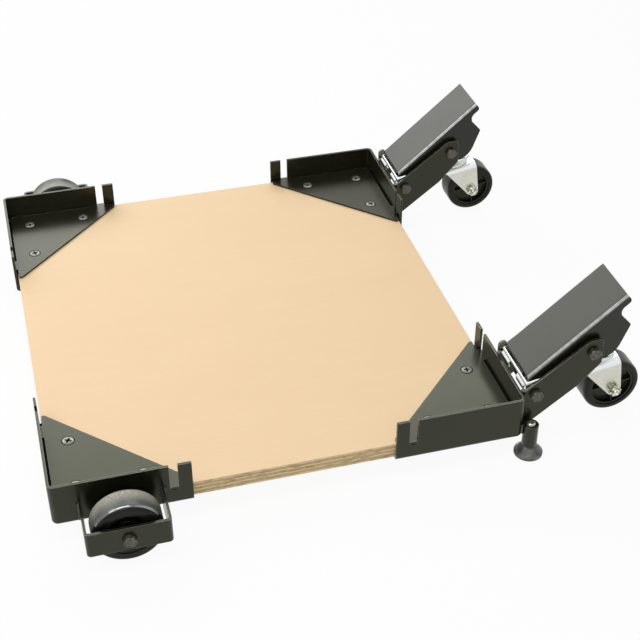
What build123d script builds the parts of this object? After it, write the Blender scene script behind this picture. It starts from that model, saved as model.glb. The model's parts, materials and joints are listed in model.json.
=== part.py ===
from build123d import *
from build123d.topology import SkipClean
import math
import os

# Machine mobile base: a plywood platform held by four steel corner brackets, with two fixed
# wheels at one end and two foot-pedal caster units and levelling feet at the other end.
# Millimetres, +Z up, floor at z = 0, +X from the fixed wheels towards the pedals.

# Platform and corner brackets
base_length = 520.0          # outside of the brackets along X
base_width = 582.0           # outside of the brackets along Y
sheet = 3.0                  # steel sheet of brackets, straps, arms, pedals and carriers
wall_height = 53.0
wall_bottom = 25.5
leg_length = 148.4           # each leg of a corner bracket, from its outer corner
wall_bend = 7.0              # outer bend radius of a bracket corner
flange_bend = 4.5            # outer bend radius between a wall and its flange
flange_width = 30.0          # of the flanges below the plywood, from the wall's outer face
slot_start = 124.3
slot_width = 9.5
slot_depth = 34.3
slot_corner = 2.5
plywood_thickness = 17.5     # of a nominal 18 mm board
plywood_gap = 1.5
plywood_corner = 3.5
plate_gap = 2.6              # slit between a corner plate and its bracket wall
plate_tip_x = (147.0, 10.5)  # ends of a corner plate's long edge, from the outer corner
plate_tip_y = (9.5, 150.5)
plate_inner_cut = 4.0
weld_tab_length = 10.0
tab_root = 1.0               # of a tab inside its plate
slot_tab_play = 0.3          # beside a plate's tab that fills the foot of a slot
weld_tabs_along_x = (14.0, 60.0, 112.0)
weld_tabs_along_y = (114.0,)
imprint_margin = 0.5

# Countersunk screws
screw_near = 30.0
screw_far = 101.5
screw_head_radius = 7.5
screw_radius = 2.5
screw_length = 16.0
screw_hole_clearance = 0.15
cross_width = 1.5
cross_span = 7.6
cross_depth = 1.8

# Fixed wheels
wheel_radius = 37.5
wheel_width = 30.0
wheel_core_radius = 27.0
wheel_edge = 5.0
wheel_recess = 6.0
core_inset = 1.0             # of a wheel centre behind the tyre's faces
core_rim = 2.8
core_draft = 1.5             # of the walls of a wheel centre's recess
wheel_from_corner = 73.4
strap_width = 89.0
strap_reach = 50.7
strap_level = 38.5           # middle height of a strap
strap_height = 30.5
strap_bend = 5.0
washer_thickness = 1.6
washer_radius = 8.0
axle_nut_height = 10.0
side_play = 0.4

# Bolts, nuts and bushes
bolt_radius = 4.0
bolt_flats = 13.0
bolt_head = 5.3
hex_top_radius = 6.1         # flat circle on top of a hex head or nut
bolt_tip_chamfer = 0.8
nut_height = 6.5
bolt_tail = 2.5              # thread standing out of a nut
bolt_end_gap = 0.5           # between an axle bolt's end and the bracket wall
running_clearance = 0.05
fixed_clearance = 0.2
bush_radius = 6.0
hub_radius = 10.0

# Pedal units: distances are outward from the bracket's outer face and up from the floor
front_unit_from_corner = 50.7
back_unit_from_corner = 74.3
arm_width = 80.0
arm_foot = 28.0
arm_top = 80.0
arm_bend = 4.0
carrier_pivot = (15.3, 74.5)
pedal_pivot = (78.6, 120.0)
arm_outline = [(0.0, arm_foot), (64.0, 76.6), (89.6, 104.4), (88.6, 136.7), (73.7, 136.7), (0.0, arm_top)]
arm_corner = 11.0
arm_nose = 4.4               # rounding of an arm's outer upper corner
arm_web_top = 70.0           # of the web between the arms, below the carrier's tabs
ear_middle = (6.2, 88.0)      # rounded ear standing on the rear arm, beside the wall
ear_radius = 5.2

# Pedal: a channel whose side flanges end in cams, drawn along (s) and across (n) its top
pedal_slope = 40.15
pedal_width = 66.4
pedal_start = -70.6
pedal_end = 68.5
pedal_top = 27.8
pedal_bend = 4.5
pedal_turn = 72.0
pedal_toe = (pedal_end, 17.5)
pedal_toe_radius = 4.5
pedal_notch = (48.6, 17.5)
pedal_notch_radius = 9.0
pedal_heel_at = 49.6
pedal_heel_radius = 3.0
pedal_left_lean = 1.0
pedal_tube_radius = 7.0
cam_gap = 0.45
cam_points = 7

# Caster carrier: a plated channel, drawn level and then tilted up about its pivot
carrier_tilt = 9.5
carrier_turn = 12.0
carrier_width = 71.0
carrier_top = 15.8
carrier_left = -9.0
carrier_right = 100.0
carrier_corner = 12.0
carrier_bend = 2.6
carrier_flange_end = 62.0
carrier_flange_knee = (54.0, 4.8)
carrier_lip = 2.0            # thickness of the end wall, in front of a slot in the plate
carrier_slot_end = -1.0
carrier_notch = 22.0
tab_top = 12.4
tab_bottom = 4.0
tab_step = (2.6, 2.3)        # outward and down, between the lip and the foot of a tab
tab_relief = 1.0             # between a tab and the flange beside it

# Swivel caster, drawn in the carrier's level frame
swivel_at = 84.0
crown_top = -8.0
fork_sheet = 2.5
fork_width = 39.0
fork_bend = 8.0
crown_half = 27.0
caster_trail = 16.5
caster_axle_level = -48.5
caster_radius = 34.0
caster_width = 30.0
caster_core_radius = 27.0
caster_edge = 4.0
caster_recess = 6.0
caster_spokes = 4
caster_spoke_width = 1.8
spoke_inset = 3.0            # of the spokes behind the tyre's faces
spoke_root = 1.0             # of a spoke inside the hub and the rim
fork_tip_radius = 9.0
fork_tip_angles = (210.0, 285.0, 360.0)     # start, middle and end of the round foot of a leg
fork_shoulder = (67.2, -13.0)     # where the narrowing edge of a leg starts
fork_shoulder_rise = 2.0
fork_skirt = 5.0             # of the legs' full width below the crown
kingpin_radius = 6.0
kingpin_head_radius = 7.5
kingpin_head = 2.5
kingpin_head_taper = 1.5
kingpin_rivet = 4.0
rivet_taper = 1.0
swivel_gap = 0.4
race_radius = 19.0
race_height = 4.0
race_chamfer = 2.0
race_slope = 3.0             # height over which the bush widens from its neck
race_lip = 1.5
swivel_neck_radius = 16.5

# Return spring on the carrier pivot
spring_wire = 2.0
spring_radius = 6.6
spring_pitch = 2.8
spring_turns = 6
spring_tail = 5.0
spring_bend_swell = 0.04     # of the wire where the bearing leg leaves the coil
gap_points = 300             # along the wire, where its gap to itself is measured

# Levelling feet
foot_from_corner = 0.0
foot_out = 8.4
sleeve_radius = 8.6
sleeve_top = 43.0
sleeve_bottom = 14.0
sleeve_chamfer = 0.9
lug_edges = (2.0, 9.5)       # web between a sleeve and its bracket, from the outer corner
lug_depth = 2.2              # of the web past the bracket's face, trimmed to the bend
lug_step = 2.0               # of the web below the sleeve's top
stud_radius = 5.0
stud_top = 45.0
stud_chamfer = 1.2
pad_radius = 16.3
pad_bulge = 0.4              # of the dome beyond a straight cone
pad_rim = 4.5
pad_chamfer = 1.0
pad_neck_radius = 7.0
pad_travel_gap = 0.5

# Worked-out places
wall_top = wall_bottom + wall_height
plywood_bottom = wall_bottom + sheet
plywood_top = plywood_bottom + plywood_thickness
plate_top = plywood_top + sheet
nut_corner = bolt_flats / math.sqrt(3.0)
standing = (Align.CENTER, Align.CENTER, Align.MIN)
beyond = 200.0               # reach of a cutting shape past anything it cuts


def turned(point, angle):
    """Turn an (outward, up) pair upwards by an angle in degrees."""
    c = math.cos(math.radians(angle))
    s = math.sin(math.radians(angle))
    return (point[0] * c - point[1] * s, point[0] * s + point[1] * c)


def moved(point, by):
    return (point[0] + by[0], point[1] + by[1])


caster_axle = (swivel_at + caster_trail, caster_axle_level)
caster_axle_at_rest = moved(turned(caster_axle, carrier_tilt), carrier_pivot)
unit_reach = caster_axle_at_rest[0] + caster_radius
left_face = -(base_length + unit_reach) / 2
right_face = left_face + base_length
front_face = -base_width / 2
back_face = base_width / 2
unit_places = {
    "front": front_face + front_unit_from_corner,
    "back": back_face - back_unit_from_corner,
}
corners = {
    "front_left": (left_face, front_face, 1, 1),
    "front_right": (right_face, front_face, -1, 1),
    "back_left": (left_face, back_face, 1, -1),
    "back_right": (right_face, back_face, -1, -1),
}


def save(name, *solids):
    os.makedirs("parts", exist_ok=True)
    shape = solids[0] if len(solids) == 1 else Compound(children=list(solids))
    export_step(shape, f"parts/{name}.step")


def at_corner(shape, corner):
    """Place a shape drawn with its corner at the origin and its legs along +X and +Y."""
    x, y, along_x, along_y = corners[corner]
    if along_x < 0:
        shape = mirror(shape, about=Plane.YZ)
    if along_y < 0:
        shape = mirror(shape, about=Plane.XZ)
    return Pos(x, y, 0) * shape


def block(x, y, z):
    """A box between the given pairs of limits."""
    size = [pair[1] - pair[0] for pair in (x, y, z)]
    return Pos(x[0], y[0], z[0]) * Box(*size, align=(Align.MIN, Align.MIN, Align.MIN))


def rod_along_y(radius, y_from, y_to, at=(0.0, 0.0)):
    length = y_to - y_from
    return Pos(at[0], (y_from + y_to) / 2, at[1]) * Rot(90, 0, 0) * Cylinder(radius, length)


def slab_across(face, width):
    """Extrude a face drawn in the XZ plane to a width centred on y = 0."""
    return extrude(face, amount=width / 2, both=True)


def side_face(points):
    return Plane.XZ * make_face(Polyline(*points, close=True))


def rounded_at(face, corner, radius):
    """Round the corner of an XZ face that is nearest to the given (x, z) point."""
    place = Vector(corner[0], 0, corner[1])
    vertex = face.vertices().sort_by_distance(place)[0]
    return fillet(vertex, radius)


def revolved_about_y(points):
    """Turn an (y, radius) outline about the Y axis."""
    outline = make_face(Polyline(*[(r, y) for y, r in points], close=True))
    return revolve(outline, Axis.Y)


def revolved_about_z(points):
    outline = Plane.XZ * make_face(Polyline(*points, close=True))
    return revolve(outline, Axis.Z)


def hexagon(height):
    """A hexagonal prism on z = 0 with its upper corners eased."""
    prism = extrude(RegularPolygon(bolt_flats / 2, 6, major_radius=False), height)
    wide = nut_corner * 2
    ease = revolved_about_z([(0, -nut_corner), (wide, -nut_corner), (wide, height - nut_corner),
                             (hex_top_radius, height), (0, height)])
    return prism & ease


def hex_bolt(length):
    """Head underside on z = 0, shank pointing down."""
    shank = Pos(0, 0, -length) * Cylinder(bolt_radius, length, align=standing)
    tip = shank.edges().filter_by(GeomType.CIRCLE).sort_by(Axis.Z)[0]
    return hexagon(bolt_head) + chamfer(tip, bolt_tip_chamfer)


def hex_nut(height):
    """Nut with its seat on z = 0."""
    return hexagon(height) - Cylinder(bolt_radius + running_clearance, beyond)


def facing_front(shape):
    """Turn a shape that points along +Z so that it points along -Y."""
    return Rot(90, 0, 0) * shape


def facing_back(shape):
    return Rot(-90, 0, 0) * shape


# Corner brackets, plates, screws and the platform
def corner_solid(inset, reach, top):
    """A block whose corner edges, upright and along its foot, are rounded like the bracket's bends."""
    solid = block((inset, reach), (inset, reach), (wall_bottom + inset, top))
    upright = solid.edges().filter_by(Axis.Z).sort_by_distance((0, 0, wall_bottom))[0]
    solid = fillet(upright, wall_bend - inset)
    foot = solid.faces().sort_by(Axis.Z)[0].edges()
    foot = foot.filter_by(lambda edge: min(edge.center().X, edge.center().Y) < wall_bend)
    return fillet(foot, flange_bend - inset)


def bracket_wall():
    """Two walls and two flanges below the plywood, bent from one sheet."""
    wall = corner_solid(0, leg_length, wall_top) - corner_solid(sheet, beyond, beyond)
    wall -= block((flange_width, beyond), (flange_width, beyond), (0, plywood_top))
    slot_middle = slot_start + slot_width / 2
    slot_outline = RectangleRounded(slot_width, slot_depth * 2, slot_corner)
    slot = extrude(Plane.XZ * (Pos(slot_middle, wall_top) * slot_outline), sheet * 3, both=True)
    other_slot = extrude(Plane.YZ * (Pos(slot_middle, wall_top) * slot_outline), sheet * 3, both=True)
    return wall - slot - other_slot


def screw_places():
    return [(screw_near, screw_near), (screw_far, screw_near), (screw_near, screw_far)]


def screw_body():
    """Countersunk screw with its head flush with z = 0."""
    head_depth = screw_head_radius - screw_radius
    outline = [(0, 0), (screw_head_radius, 0), (screw_radius, -head_depth),
               (screw_radius, -screw_length + screw_radius), (0, -screw_length)]
    return revolved_about_z(outline)


def screw():
    cross = Box(cross_span, cross_width, cross_depth * 2) + Box(cross_width, cross_span, cross_depth * 2)
    return screw_body() - cross


def corner_plate():
    edge = sheet + plate_gap
    outline = [(edge + plate_inner_cut, edge), (plate_tip_x[0], edge), plate_tip_x, plate_tip_y,
               (edge, plate_tip_y[1]), (edge, edge + plate_inner_cut)]
    plate = extrude(make_face(Polyline(*outline, close=True)), sheet)
    for start in weld_tabs_along_x:
        plate += block((start, start + weld_tab_length), (sheet, edge + tab_root), (0, sheet))
    for start in weld_tabs_along_y:
        plate += block((sheet, edge + tab_root), (start, start + weld_tab_length), (0, sheet))
    in_slot = (slot_start + slot_tab_play, slot_start + slot_width - slot_tab_play)
    plate += block(in_slot, (0, edge + tab_root), (0, sheet))
    plate += block((0, edge + tab_root), in_slot, (0, sheet))
    for x, y in screw_places():
        plate -= Pos(x, y, sheet) * screw_body()
    return Pos(0, 0, plywood_top) * plate


def platform():
    """Plywood sheet whose top is divided along the corner plates' long edges."""
    inset = sheet + plywood_gap
    sheet_outline = RectangleRounded(base_length - 2 * inset, base_width - 2 * inset, plywood_corner)
    whole = extrude(Pos(left_face + base_length / 2, 0, plywood_bottom) * sheet_outline, plywood_thickness)
    fall = (plate_tip_y[1] - plate_tip_x[1]) / (plate_tip_x[0] - plate_tip_y[0])
    rise = plate_tip_x[1] + plate_tip_x[0] * fall + imprint_margin
    triangle = make_face(Polyline((0, 0), (rise / fall, 0), (0, rise), close=True))
    corner_prism = extrude(Pos(0, 0, plywood_bottom) * triangle, plywood_thickness)
    middle = whole
    pieces = []
    for corner in corners:
        prism = at_corner(corner_prism, corner)
        middle -= prism
        piece = whole & prism
        for x, y in screw_places():
            hole = Cylinder(screw_radius + screw_hole_clearance, screw_length * 2)
            piece -= at_corner(Pos(x, y, plate_top - screw_length) * hole, corner)
            piece -= at_corner(Pos(x, y, plate_top) * screw_body(), corner)
        pieces.append(piece)
    with SkipClean():
        for piece in pieces:
            middle += piece
    return middle


# Fixed wheels, drawn for a wall whose outer face is y = 0 and whose outside is -Y
def wheel_strap():
    half = strap_width / 2
    low = strap_level - strap_height / 2
    high = strap_level + strap_height / 2
    outer = block((-half, half), (-strap_reach, 0), (low, high))
    inner = block((sheet - half, half - sheet), (sheet - strap_reach, sheet), (low - sheet, high + sheet))
    outer = fillet(outer.edges().filter_by(Axis.Z).group_by(Axis.Y)[0], strap_bend)
    inner = fillet(inner.edges().filter_by(Axis.Z).group_by(Axis.Y)[0], strap_bend - sheet)
    hole = rod_along_y(bolt_radius + fixed_clearance, -beyond, 0, (0, wheel_radius))
    return outer - inner - hole


def wheel_middle():
    """Distance from the wall to the wheel's middle plane."""
    return (strap_reach - sheet + axle_nut_height) / 2


def hub_length():
    return strap_reach - sheet - axle_nut_height - 2 * washer_thickness - 2 * side_play


def tyre(radius, core_radius, width, edge):
    half = width / 2
    ring = rod_along_y(radius, -half, half) - rod_along_y(core_radius, -width, width)
    rims = ring.edges().filter_by(GeomType.CIRCLE).filter_by(lambda e: e.radius > core_radius + edge)
    return fillet(rims, edge)


def wheel_core(core_radius, width, recess, length):
    """Wheel centre: a rim, a thinner web and a hub bored for its bush."""
    half = width / 2 - core_inset
    web = half - recess
    rim_inner = core_radius - core_rim
    one_side = [(length / 2, bush_radius), (length / 2, hub_radius), (web, hub_radius + core_draft),
                (web, rim_inner - core_draft), (half, rim_inner), (half, core_radius)]
    other_side = [(-y, radius) for y, radius in reversed(one_side)]
    return revolved_about_y(one_side + other_side)


def bush(length):
    half = length / 2
    bored = bolt_radius + running_clearance
    return rod_along_y(bush_radius, -half, half) - rod_along_y(bored, -length, length)


def make_fixed_wheel(name, side):
    axle_x = left_face + wheel_from_corner

    def place(shape):
        shape = Pos(axle_x, front_face, 0) * shape
        return shape if side > 0 else mirror(shape, about=Plane.XZ)

    def on_axle(shape, distance=0.0):
        return place(Pos(0, -distance, wheel_radius) * shape)

    washer = rod_along_y(washer_radius, -washer_thickness, 0)
    washer -= rod_along_y(bolt_radius + fixed_clearance, -washer_thickness * 2, washer_thickness)
    bolt = facing_front(hex_bolt(strap_reach - bolt_end_gap))
    length = hub_length()
    middle = wheel_middle()
    save(f"{name}_wheel_strap", place(wheel_strap()))
    save(f"{name}_axle_bolt", on_axle(bolt, strap_reach))
    save(f"{name}_axle_nut", on_axle(facing_front(hex_nut(axle_nut_height))))
    save(f"{name}_axle_washers", on_axle(washer, axle_nut_height),
         on_axle(washer, strap_reach - sheet - washer_thickness))
    rubber = tyre(wheel_radius, wheel_core_radius, wheel_width, wheel_edge)
    core = wheel_core(wheel_core_radius, wheel_width, wheel_recess, length)
    save(f"{name}_wheel_tyre", on_axle(rubber, middle))
    save(f"{name}_wheel_core", on_axle(core, middle))
    save(f"{name}_wheel_bush", on_axle(bush(length), middle))


# Pedal units, drawn outward (+X) from the bracket face with y = 0 at the unit's middle
def pivot_hole(radius, at):
    return rod_along_y(radius, -arm_width, arm_width, at)


def lever_arms():
    """Fixed bracket: a web against the corner bracket and two raised side arms."""
    outline = side_face(arm_outline)
    outline = rounded_at(outline, arm_outline[3], arm_nose)
    outline = rounded_at(outline, arm_outline[4], arm_corner)
    arms = slab_across(outline, arm_width)
    back_edges = arms.edges().filter_by(Axis.Z).group_by(Axis.X)[0]
    arms = fillet(back_edges, arm_bend)
    half = arm_width / 2 - sheet
    inner = block((sheet, beyond), (-half, half), (0, beyond))
    inner = fillet(inner.edges().filter_by(Axis.Z).group_by(Axis.X)[0], arm_bend - sheet)
    arms -= inner
    clear = half - arm_bend
    arms -= block((-beyond, sheet + arm_bend), (-clear, clear), (arm_web_top, beyond))
    ear = rod_along_y(ear_radius, half, half + sheet, ear_middle)
    ear += block((ear_middle[0] - ear_radius, ear_middle[0] + ear_radius), (half, half + sheet),
                 (carrier_pivot[1], ear_middle[1]))
    arms += ear
    for pivot in (carrier_pivot, pedal_pivot):
        arms -= pivot_hole(bolt_radius + fixed_clearance, pivot)
    return arms


def pedal_point(along, across):
    return moved(turned((along, across), pedal_slope), pedal_pivot)


def cam_point(turn):
    """Point of the cam that bears on the carrier when the pedal has turned by this angle.

    The carrier's top drops in step with the pedal, so the cam is the envelope of its top line.
    """
    ratio = carrier_turn / pedal_turn
    slope = math.radians(carrier_tilt - ratio * turn)
    back = (carrier_pivot[0] - pedal_pivot[0], carrier_pivot[1] - pedal_pivot[1])
    reach = back[0] * math.sin(slope) - back[1] * math.cos(slope) - carrier_top - cam_gap
    growth = -ratio * (back[0] * math.cos(slope) + back[1] * math.sin(slope)) / (1 - ratio)
    facing = slope + math.radians(turn) - math.pi / 2
    return (pedal_pivot[0] + reach * math.cos(facing) - growth * math.sin(facing),
            pedal_pivot[1] + reach * math.sin(facing) + growth * math.cos(facing))


def pedal():
    cam = [cam_point(pedal_turn * i / (cam_points - 1)) for i in range(cam_points)]
    left_top = pedal_point(pedal_start, pedal_top)
    left_low_x = left_top[0] + pedal_left_lean
    left_drop = (cam[0][0] - left_low_x) * math.tan(math.radians(carrier_tilt))
    left_low = (left_low_x, cam[0][1] - left_drop)
    right_top = pedal_point(pedal_end, pedal_top)
    toe = pedal_point(*pedal_toe)
    notch = pedal_point(*pedal_notch)
    flank = math.radians(carrier_tilt - carrier_turn + pedal_turn - pedal_slope)
    cam_end = turned((cam[-1][0] - pedal_pivot[0], cam[-1][1] - pedal_pivot[1]), -pedal_slope)
    heel = pedal_point(pedal_heel_at, cam_end[1] + (pedal_heel_at - cam_end[0]) * math.tan(flank))
    lines = Polyline(cam[0], left_low, left_top, right_top, toe, notch, heel, cam[-1])
    face = Plane.XZ * make_face([lines, Spline(*reversed(cam))])
    face = rounded_at(face, toe, pedal_toe_radius)
    face = rounded_at(face, notch, pedal_notch_radius)
    face = rounded_at(face, heel, pedal_heel_radius)
    channel = slab_across(face, pedal_width)
    top_middle = pedal_point((pedal_start + pedal_end) / 2, pedal_top)
    top_face = channel.faces().sort_by_distance((top_middle[0], 0, top_middle[1]))[0]
    channel = fillet(top_face.edges().sort_by(SortBy.LENGTH)[-2:], pedal_bend)
    inside_half = pedal_width / 2 - sheet
    inside = block((-beyond, beyond), (-inside_half, inside_half), (-beyond, pedal_top - sheet))
    inside = fillet(inside.edges().filter_by(Axis.X).group_by(Axis.Z)[-1], pedal_bend - sheet)
    channel -= Pos(pedal_pivot[0], 0, pedal_pivot[1]) * Rot(0, -pedal_slope, 0) * inside
    return channel - pivot_hole(bolt_radius + running_clearance, pedal_pivot)


def pedal_tube():
    half = pedal_width / 2 - sheet
    tube = rod_along_y(pedal_tube_radius, -half, half, pedal_pivot)
    return tube - pivot_hole(bolt_radius + running_clearance, pedal_pivot)


def tilted(shape):
    """Bring a shape from the carrier's level frame to its place at rest."""
    return Pos(carrier_pivot[0], 0, carrier_pivot[1]) * Rot(0, -carrier_tilt, 0) * shape


def carrier_tab(width):
    """Tab under the carrier's end lip, stepped outward to clear the spring."""
    outer = carrier_left
    step_out, step_down = tab_step
    outline = [(outer, tab_top), (outer - step_out, tab_top - step_down), (outer - step_out, tab_bottom),
               (outer - step_out + carrier_lip, tab_bottom),
               (outer - step_out + carrier_lip, tab_top - step_down), (outer + carrier_lip, tab_top)]
    return slab_across(side_face(outline), width)


def carrier():
    half = carrier_width / 2
    low = -carrier_left
    plate_low = carrier_top - sheet
    flange = make_face([
        Polyline((carrier_left, 0), (carrier_left, carrier_top), (carrier_right, carrier_top),
                 (carrier_right, plate_low), (carrier_flange_end, plate_low),
                 carrier_flange_knee, (0, -low)),
        RadiusArc((carrier_left, 0), (0, -low), -low),
    ])
    body = slab_across(Plane.XZ * flange, carrier_width)
    right_edges = body.edges().filter_by(Axis.Z).group_by(Axis.X)[-1]
    body = fillet(right_edges, carrier_corner)
    top_edges = body.faces().sort_by(Axis.Z)[-1].edges().filter_by(
        lambda e: e.center().X < carrier_right - carrier_corner - sheet)
    body = fillet(top_edges, carrier_bend)
    channel = (sheet - half, half - sheet)
    wall_back = carrier_left + carrier_lip
    body -= block((wall_back, beyond), channel, (-beyond, plate_low))
    body -= block((wall_back, carrier_slot_end), channel, (-beyond, beyond))
    body -= block((-beyond, wall_back), channel, (-beyond, tab_top))
    tab_width = half - sheet - tab_relief - carrier_notch / 2
    for way in (-1, 1):
        body += Pos(0, way * (carrier_notch + tab_width) / 2, 0) * carrier_tab(tab_width)
    body -= rod_along_y(bolt_radius + running_clearance, -carrier_width, carrier_width)
    body -= Pos(swivel_at, 0, 0) * Cylinder(kingpin_radius + running_clearance, beyond)
    return body


def swivel_bush():
    bottom = crown_top + swivel_gap
    top = carrier_top - sheet
    inner = kingpin_radius + running_clearance
    low_race = bottom + race_height
    outline = [(inner, bottom), (race_radius - race_chamfer, bottom), (race_radius, bottom + race_chamfer),
               (race_radius, low_race), (swivel_neck_radius, low_race + race_slope),
               (swivel_neck_radius, top - race_slope), (race_radius, top - race_lip), (race_radius, top),
               (inner, top)]
    return Pos(swivel_at, 0, 0) * revolved_about_z(outline)


def kingpin():
    low = crown_top - fork_sheet - swivel_gap
    bottom = low - kingpin_head
    top = carrier_top + kingpin_rivet
    outline = [(0, bottom), (kingpin_head_radius - kingpin_head_taper, bottom), (kingpin_head_radius, low),
               (kingpin_radius, low), (kingpin_radius, carrier_top),
               (kingpin_head_radius + rivet_taper, carrier_top),
               (kingpin_head_radius - rivet_taper, top), (0, top)]
    return Pos(swivel_at, 0, 0) * revolved_about_z(outline)


def caster_fork():
    """Pressed fork: a crown and two legs that narrow to the axle."""
    left = swivel_at - crown_half
    right = swivel_at + crown_half
    low = crown_top - fork_sheet - fork_skirt
    tip = [moved(turned((fork_tip_radius, 0), angle), caster_axle) for angle in fork_tip_angles]
    outline = make_face([
        Polyline(tip[2], (right, low), (right, crown_top), (left, crown_top),
                 (left, fork_shoulder[1] + fork_shoulder_rise), fork_shoulder, tip[0]),
        ThreePointArc(*tip),
    ])
    fork = slab_across(Plane.XZ * outline, fork_width)
    crown_edges = fork.faces().sort_by(Axis.Z)[-1].edges().filter_by(Axis.X)
    fork = fillet(crown_edges, fork_bend)
    half = fork_width / 2 - fork_sheet
    inside = block((-beyond, beyond), (-half, half), (-beyond, crown_top - fork_sheet))
    inside = fillet(inside.edges().filter_by(Axis.X).group_by(Axis.Z)[-1], fork_bend - fork_sheet)
    fork -= inside
    fork -= Pos(swivel_at, 0, 0) * Cylinder(kingpin_radius + running_clearance, beyond)
    return fork - rod_along_y(bolt_radius + fixed_clearance, -fork_width, fork_width, caster_axle)


def at_caster_axle(shape):
    return Pos(caster_axle[0], 0, caster_axle[1]) * shape


def caster_core(length):
    core = wheel_core(caster_core_radius, caster_width, caster_recess, length)
    half = caster_width / 2 - spoke_inset
    rim_inner = caster_core_radius - core_rim
    for i in range(caster_spokes):
        spoke = block((hub_radius - spoke_root, rim_inner + spoke_root), (-half, half),
                      (-caster_spoke_width / 2, caster_spoke_width / 2))
        core += Rot(0, 360 / caster_spokes * i, 0) * spoke
    return core


def least_gap(route, wire, apart):
    """Least clear distance between points of a wire that are at least a given length apart along it."""
    points = [route @ (i / gap_points) for i in range(gap_points + 1)]
    step = math.ceil(apart / route.length * gap_points)
    return min((later - point).length for i, point in enumerate(points) for later in points[i + step:]) - wire


def return_spring():
    """Torsion spring on the carrier pivot, one leg under the carrier's plate."""
    coil_length = spring_pitch * spring_turns
    helix = Helix(spring_pitch, coil_length, spring_radius)
    start = helix @ 0
    section = Plane(origin=start, z_dir=helix % 0) * Circle(spring_wire / 2)
    coil = sweep(section, path=helix, is_frenet=True)
    bearing_leg = Plane(origin=helix @ 1, z_dir=(0, 1, 0)) * Circle(spring_wire / 2)
    out = extrude(bearing_leg, carrier_top - sheet)
    bend = Pos(helix @ 1) * Sphere(spring_wire / 2 + spring_bend_swell)
    into = extrude(section, -spring_tail)
    spring = coil + into + bend + out
    into_line = Line(start - helix % 0 * spring_tail, start)
    out_line = Line(helix @ 1, helix @ 1 + Vector(0, carrier_top - sheet, 0))
    route = Wire([into_line.edge(), helix.edge(), out_line.edge()])
    gap = least_gap(route, spring_wire, math.pi * spring_radius)
    print(f"return spring: least gap to itself {gap:.2f} mm")
    return Pos(0, coil_length / 2, 0) * Rot(90, 0, 0) * spring


def make_pedal_unit(name, unit_y):
    def place(shape):
        return Pos(right_face, unit_y, 0) * shape

    def place_tilted(shape):
        return place(tilted(shape))

    half_arm = arm_width / 2
    bolts = []
    nuts = []
    for at in (carrier_pivot, pedal_pivot):
        bolt = facing_front(hex_bolt(arm_width + nut_height + bolt_tail))
        bolts.append(place(Pos(at[0], -half_arm, at[1]) * bolt))
        nuts.append(place(Pos(at[0], half_arm, at[1]) * facing_back(hex_nut(nut_height))))
    half_fork = fork_width / 2
    hub = fork_width - 2 * fork_sheet - 2 * side_play
    axle = Pos(0, half_fork, 0) * facing_back(hex_bolt(fork_width + nut_height + bolt_tail))
    end_nut = Pos(0, -half_fork, 0) * facing_front(hex_nut(nut_height))
    rubber = tyre(caster_radius, caster_core_radius, caster_width, caster_edge)
    save(f"{name}_lever_arms", place(lever_arms()))
    save(f"{name}_lever_bolts", *bolts)
    save(f"{name}_lever_nuts", *nuts)
    save(f"{name}_pedal", place(pedal()))
    save(f"{name}_pedal_tube", place(pedal_tube()))
    save(f"{name}_caster_carrier", place_tilted(carrier()))
    save(f"{name}_return_spring", place_tilted(return_spring()))
    save(f"{name}_swivel_bush", place_tilted(swivel_bush()))
    save(f"{name}_kingpin", place_tilted(kingpin()))
    save(f"{name}_caster_fork", place_tilted(caster_fork()))
    save(f"{name}_caster_axle", place_tilted(at_caster_axle(axle)))
    save(f"{name}_caster_nut", place_tilted(at_caster_axle(end_nut)))
    save(f"{name}_caster_tyre", place_tilted(at_caster_axle(rubber)))
    save(f"{name}_caster_core", place_tilted(at_caster_axle(caster_core(hub))))
    save(f"{name}_caster_bush", place_tilted(at_caster_axle(bush(hub))))


# Levelling feet at the two outer corners beside the pedal units
def foot_pad():
    top = sleeve_bottom - pad_travel_gap
    inner = pad_radius - pad_chamfer
    rim = (inner, pad_rim)
    neck = (pad_neck_radius, top)
    dome = ((rim[0] + neck[0] + pad_bulge) / 2, (rim[1] + neck[1] + pad_bulge) / 2)
    outline = make_face([
        Polyline(neck, (0, top), (0, 0), (inner, 0), (pad_radius, pad_chamfer),
                 (pad_radius, pad_rim - pad_chamfer), rim),
        ThreePointArc(rim, dome, neck),
    ])
    socket = Pos(0, 0, pad_rim) * Cylinder(stud_radius + running_clearance, top, align=standing)
    return revolve(Plane.XZ * outline, Axis.Z) - socket


def foot_stud():
    stud = Pos(0, 0, pad_rim) * Cylinder(stud_radius, stud_top - pad_rim, align=standing)
    return chamfer(stud.edges().filter_by(GeomType.CIRCLE).sort_by(Axis.Z)[-1], stud_chamfer)


def make_foot(name, corner):
    sleeve = Pos(0, 0, sleeve_bottom) * Cylinder(sleeve_radius, sleeve_top - sleeve_bottom, align=standing)
    sleeve = chamfer(sleeve.edges().filter_by(GeomType.CIRCLE).sort_by(Axis.Z)[-1], sleeve_chamfer)
    sleeve -= Cylinder(stud_radius + running_clearance, beyond)
    place = Pos(-foot_out, foot_from_corner, 0)
    lug = block((-foot_out, lug_depth), lug_edges, (wall_bottom + flange_bend, sleeve_top - lug_step))
    lug -= place * Cylinder(sleeve_radius - sheet / 2, beyond)
    save(f"{name}_foot_sleeve", at_corner(place * sleeve + lug - bracket_wall(), corner))
    save(f"{name}_foot_stud", at_corner(place * foot_stud(), corner))
    save(f"{name}_foot_pad", at_corner(place * foot_pad(), corner))


def make_platform_and_brackets():
    wall = bracket_wall()
    plate = corner_plate()
    screws = []
    for corner in corners:
        save(f"{corner}_bracket", at_corner(wall, corner))
        save(f"{corner}_plate", at_corner(plate, corner))
        for x, y in screw_places():
            screws.append(at_corner(Pos(x, y, plate_top) * screw(), corner))
    save("platform_screws", *screws)
    save("plywood_platform", platform())


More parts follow.
